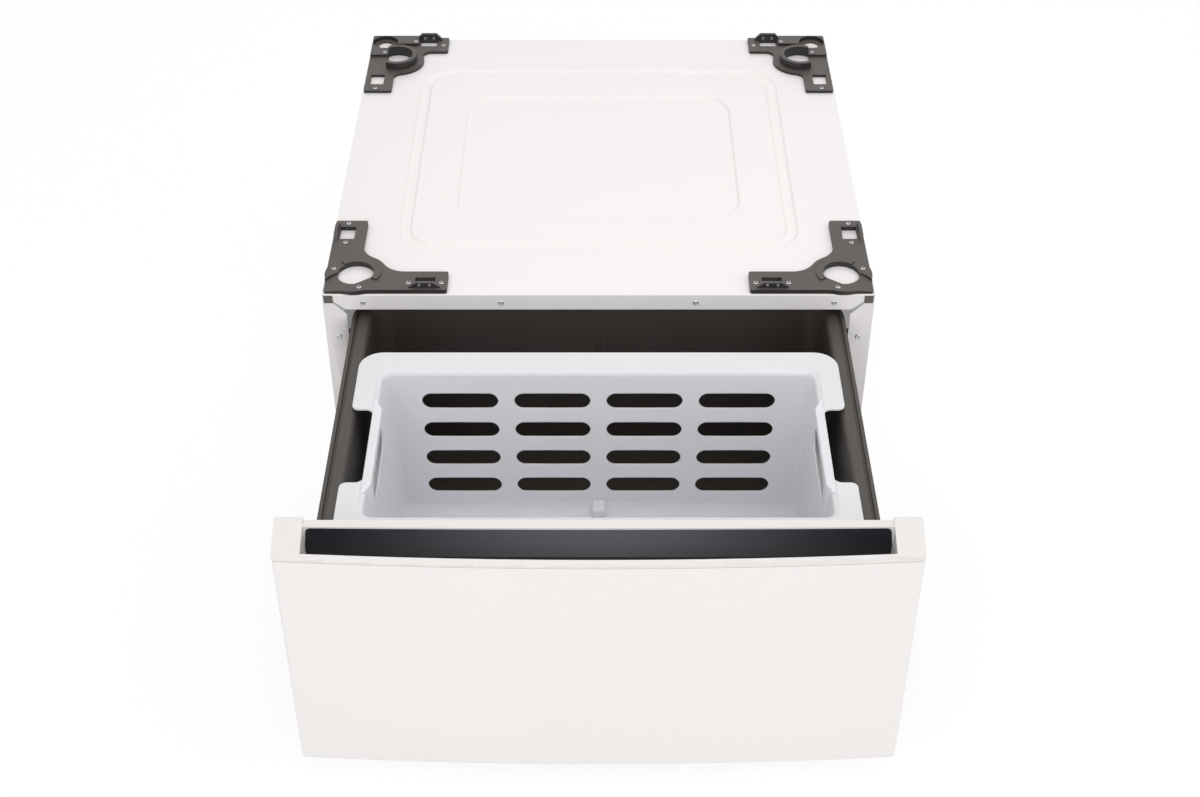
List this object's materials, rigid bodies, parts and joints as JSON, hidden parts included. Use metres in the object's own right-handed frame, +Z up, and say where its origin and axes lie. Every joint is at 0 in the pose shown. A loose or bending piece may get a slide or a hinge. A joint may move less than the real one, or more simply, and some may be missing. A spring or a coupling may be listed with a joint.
{
  "type": "laundry pedestal with storage drawer",
  "caption": "Low sheet steel stand for a front-loading washer or dryer, with corner plates for its feet and a full-width pull-out drawer that holds a lift-out basket.",
  "frame": {"origin": "middle of the open pedestal's footprint, at floor level", "axes": "+X to the right seen from the front, +Y to the back, +Z up; the drawer opens towards -Y"},
  "size_m": [0.686, 1.1296, 0.361],
  "materials": {
    "black_paint": "satin",
    "white_paint": "gloss",
    "white_plastic": "satin",
    "dark_plastic": "matte",
    "tub_plastic": "satin",
    "basket_plastic": "satin",
    "gloss_dark_plastic": "gloss",
    "zinc_steel": "satin",
    "screw_steel": "satin",
    "bearing_steel": "polished",
    "rubber": "matte"
  },
  "bodies": {
    "cabinet": {"top_panel": "white_paint", "side_panel_left": "white_paint", "side_panel_right": "white_paint", "rear_panel": "white_paint", "front_top_rail": "zinc_steel", "front_base_rail": "zinc_steel", "rear_base_rail": "zinc_steel", "corner_post_fl": "zinc_steel", "corner_post_fr": "zinc_steel", "corner_post_rl": "zinc_steel", "corner_post_rr": "zinc_steel", "corner_plate_fl": "dark_plastic", "corner_plate_fr": "dark_plastic", "corner_plate_rl": "dark_plastic", "corner_plate_rr": "dark_plastic", "corner_plugs": "dark_plastic", "corner_plate_screws": "screw_steel", "cabinet_screws": "screw_steel", "foot_bracket_fl": "zinc_steel", "foot_bracket_fr": "zinc_steel", "foot_bracket_rl": "zinc_steel", "foot_bracket_rr": "zinc_steel", "lock_nuts": "zinc_steel", "slide_support_left": "black_paint", "slide_support_right": "black_paint", "slide_rivets": "screw_steel", "slide_outer_left": "zinc_steel", "slide_outer_right": "zinc_steel"},
    "drawer": {"drawer_tub": "tub_plastic", "drawer_front_skin": "white_paint", "drawer_inner_panel": "white_paint", "handle_trim": "white_plastic", "handle_strip": "gloss_dark_plastic", "tub_screws": "screw_steel", "drawer_slide_screws": "screw_steel", "drawer_bumpers": "rubber", "slide_inner_left": "zinc_steel", "slide_inner_right": "zinc_steel"},
    "basket": {"laundry_basket": "basket_plastic"},
    "slide_mid_left_body": {"slide_mid_left": "zinc_steel"},
    "outer_cage_left": {"outer_ball_cage_left": "bearing_steel", "outer_balls_left": "bearing_steel"},
    "inner_cage_left": {"inner_ball_cage_left": "bearing_steel", "inner_balls_left": "bearing_steel"},
    "slide_mid_right_body": {"slide_mid_right": "zinc_steel"},
    "outer_cage_right": {"outer_ball_cage_right": "bearing_steel", "outer_balls_right": "bearing_steel"},
    "inner_cage_right": {"inner_ball_cage_right": "bearing_steel", "inner_balls_right": "bearing_steel"},
    "foot_fl": {"foot_pad_fl": "rubber"},
    "foot_screw_fl": {"foot_stud_fl": "zinc_steel"},
    "foot_fr": {"foot_pad_fr": "rubber"},
    "foot_screw_fr": {"foot_stud_fr": "zinc_steel"},
    "foot_rl": {"foot_pad_rl": "rubber"},
    "foot_screw_rl": {"foot_stud_rl": "zinc_steel"},
    "foot_rr": {"foot_pad_rr": "rubber"},
    "foot_screw_rr": {"foot_stud_rr": "zinc_steel"}
  },
  "joints": [
    {"name": "drawer_slide", "type": "slide", "parent": "cabinet", "child": "drawer", "axis": [0, 1, 0], "range_m": [0, 0.41]},
    {"name": "basket_lift", "type": "slide", "parent": "drawer", "child": "basket", "axis": [0, 0, 1], "range_m": [0, 0.26]},
    {"name": "slide_mid_left_travel", "type": "slide", "parent": "cabinet", "child": "slide_mid_left_body", "axis": [0, 1, 0], "range_m": [0, 0.205]},
    {"name": "outer_cage_left_travel", "type": "slide", "parent": "cabinet", "child": "outer_cage_left", "axis": [0, 1, 0], "range_m": [0, 0.1025]},
    {"name": "inner_cage_left_travel", "type": "slide", "parent": "cabinet", "child": "inner_cage_left", "axis": [0, 1, 0], "range_m": [0, 0.3075]},
    {"name": "slide_mid_right_travel", "type": "slide", "parent": "cabinet", "child": "slide_mid_right_body", "axis": [0, 1, 0], "range_m": [0, 0.205]},
    {"name": "outer_cage_right_travel", "type": "slide", "parent": "cabinet", "child": "outer_cage_right", "axis": [0, 1, 0], "range_m": [0, 0.1025]},
    {"name": "inner_cage_right_travel", "type": "slide", "parent": "cabinet", "child": "inner_cage_right", "axis": [0, 1, 0], "range_m": [0, 0.3075]},
    {"name": "foot_height_fl", "type": "slide", "parent": "cabinet", "child": "foot_fl", "axis": [0, 0, -1], "range_m": [0, 0.015]},
    {"name": "foot_turn_fl", "type": "hinge", "parent": "foot_fl", "child": "foot_screw_fl", "pos_m": [-0.301, -0.0568, 0.0127], "axis": [0, 0, 1], "range_deg": [0, 3600.01]},
    {"name": "foot_height_fr", "type": "slide", "parent": "cabinet", "child": "foot_fr", "axis": [0, 0, -1], "range_m": [0, 0.015]},
    {"name": "foot_turn_fr", "type": "hinge", "parent": "foot_fr", "child": "foot_screw_fr", "pos_m": [0.301, -0.0568, 0.0127], "axis": [0, 0, 1], "range_deg": [0, 3600.01]},
    {"name": "foot_height_rl", "type": "slide", "parent": "cabinet", "child": "foot_rl", "axis": [0, 0, -1], "range_m": [0, 0.015]},
    {"name": "foot_turn_rl", "type": "hinge", "parent": "foot_rl", "child": "foot_screw_rl", "pos_m": [-0.301, 0.5232, 0.0127], "axis": [0, 0, 1], "range_deg": [0, 3600.01]},
    {"name": "foot_height_rr", "type": "slide", "parent": "cabinet", "child": "foot_rr", "axis": [0, 0, -1], "range_m": [0, 0.015]},
    {"name": "foot_turn_rr", "type": "hinge", "parent": "foot_rr", "child": "foot_screw_rr", "pos_m": [0.301, 0.5232, 0.0127], "axis": [0, 0, 1], "range_deg": [0, 3600.01]}
  ],
  "couplings": [
    {"joint": "slide_mid_left_travel", "follows": "drawer_slide", "ratio": 0.5},
    {"joint": "outer_cage_left_travel", "follows": "drawer_slide", "ratio": 0.25},
    {"joint": "inner_cage_left_travel", "follows": "drawer_slide", "ratio": 0.75},
    {"joint": "slide_mid_right_travel", "follows": "drawer_slide", "ratio": 0.5},
    {"joint": "outer_cage_right_travel", "follows": "drawer_slide", "ratio": 0.25},
    {"joint": "inner_cage_right_travel", "follows": "drawer_slide", "ratio": 0.75},
    {"joint": "foot_turn_fl", "follows": "foot_height_fl", "rad_per_m": 4188.8},
    {"joint": "foot_turn_fr", "follows": "foot_height_fr", "rad_per_m": 4188.8},
    {"joint": "foot_turn_rl", "follows": "foot_height_rl", "rad_per_m": 4188.8},
    {"joint": "foot_turn_rr", "follows": "foot_height_rr", "rad_per_m": 4188.8}
  ]
}
